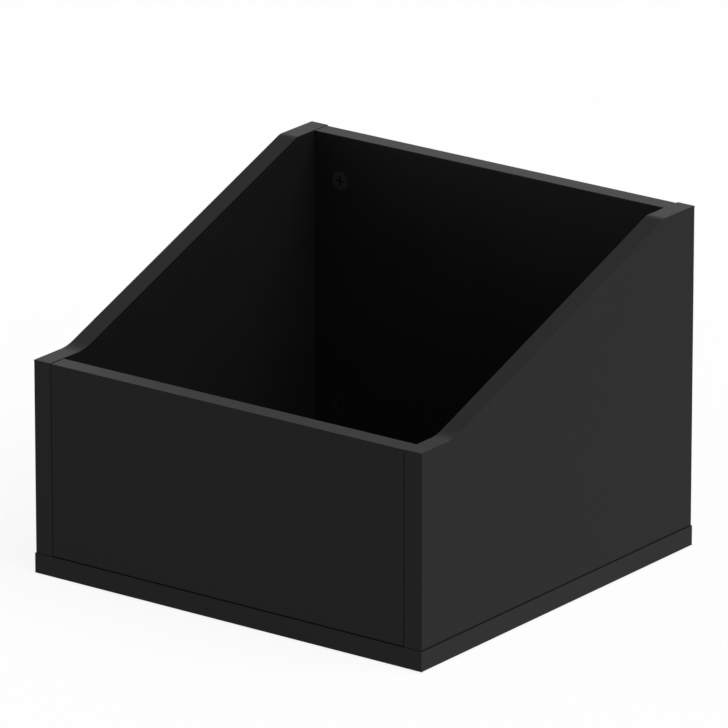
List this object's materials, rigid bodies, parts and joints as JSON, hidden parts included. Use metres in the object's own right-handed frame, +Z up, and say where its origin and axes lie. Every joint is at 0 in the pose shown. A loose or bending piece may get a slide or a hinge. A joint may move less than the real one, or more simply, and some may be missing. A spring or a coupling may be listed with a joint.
{
  "type": "record storage box",
  "caption": "Open-topped record storage box with a low front, sloped sides and a tall back, of edged black boards on a base plate, held by cam fittings, dowels and screws.",
  "frame": {"origin": "on the floor, under the middle of the base plate", "axes": "+X to the right across the front, +Y from front to back, +Z up"},
  "size_m": [0.36, 0.345, 0.2709],
  "materials": {
    "black_melamine_board": "satin black melamine facing on chipboard",
    "black_abs_edging": "fine-grained black ABS edging",
    "zinc_cam": "die-cast zinc, blackened",
    "bright_steel": "zinc-plated steel",
    "beech": "fluted beech",
    "black_foot_pad": "matt black foam rubber"
  },
  "bodies": {
    "carcass": {"base_panel": "black_melamine_board", "left_side_panel": "black_melamine_board", "right_side_panel": "black_melamine_board", "front_panel": "black_melamine_board", "back_panel": "black_melamine_board", "base_front_edging": "black_abs_edging", "base_back_edging": "black_abs_edging", "base_left_edging": "black_abs_edging", "base_right_edging": "black_abs_edging", "left_side_front_edging": "black_abs_edging", "left_side_back_edging": "black_abs_edging", "left_side_top_edging": "black_abs_edging", "right_side_front_edging": "black_abs_edging", "right_side_back_edging": "black_abs_edging", "right_side_top_edging": "black_abs_edging", "front_panel_top_edging": "black_abs_edging", "back_panel_top_edging": "black_abs_edging", "cam_bolts": "bright_steel", "panel_dowels": "beech", "base_dowels": "beech", "base_screws": "bright_steel", "front_left_foot": "black_foot_pad", "front_right_foot": "black_foot_pad", "back_left_foot": "black_foot_pad", "back_right_foot": "black_foot_pad"},
    "front_left_lower_cam": {"front_left_lower_cam": "zinc_cam"},
    "front_left_upper_cam": {"front_left_upper_cam": "zinc_cam"},
    "front_right_lower_cam": {"front_right_lower_cam": "zinc_cam"},
    "front_right_upper_cam": {"front_right_upper_cam": "zinc_cam"},
    "back_left_lower_cam": {"back_left_lower_cam": "zinc_cam"},
    "back_left_upper_cam": {"back_left_upper_cam": "zinc_cam"},
    "back_right_lower_cam": {"back_right_lower_cam": "zinc_cam"},
    "back_right_upper_cam": {"back_right_upper_cam": "zinc_cam"}
  },
  "joints": [
    {"name": "front_left_lower_cam_turn", "type": "hinge", "parent": "carcass", "child": "front_left_lower_cam", "pos_m": [-0.1395, -0.1642, 0.0539], "axis": [0, 1, 0], "range_deg": [0, 180]},
    {"name": "front_left_upper_cam_turn", "type": "hinge", "parent": "carcass", "child": "front_left_upper_cam", "pos_m": [-0.1395, -0.1642, 0.134], "axis": [0, 1, 0], "range_deg": [0, 180]},
    {"name": "front_right_lower_cam_turn", "type": "hinge", "parent": "carcass", "child": "front_right_lower_cam", "pos_m": [0.1395, -0.1642, 0.0539], "axis": [0, 1, 0], "range_deg": [0, 180]},
    {"name": "front_right_upper_cam_turn", "type": "hinge", "parent": "carcass", "child": "front_right_upper_cam", "pos_m": [0.1395, -0.1642, 0.134], "axis": [0, 1, 0], "range_deg": [0, 180]},
    {"name": "back_left_lower_cam_turn", "type": "hinge", "parent": "carcass", "child": "back_left_lower_cam", "pos_m": [-0.1395, 0.163, 0.0539], "axis": [0, -1, 0], "range_deg": [0, 180]},
    {"name": "back_left_upper_cam_turn", "type": "hinge", "parent": "carcass", "child": "back_left_upper_cam", "pos_m": [-0.1395, 0.163, 0.2346], "axis": [0, -1, 0], "range_deg": [0, 180]},
    {"name": "back_right_lower_cam_turn", "type": "hinge", "parent": "carcass", "child": "back_right_lower_cam", "pos_m": [0.1395, 0.163, 0.0539], "axis": [0, -1, 0], "range_deg": [0, 180]},
    {"name": "back_right_upper_cam_turn", "type": "hinge", "parent": "carcass", "child": "back_right_upper_cam", "pos_m": [0.1395, 0.163, 0.2346], "axis": [0, -1, 0], "range_deg": [0, 180]}
  ]
}
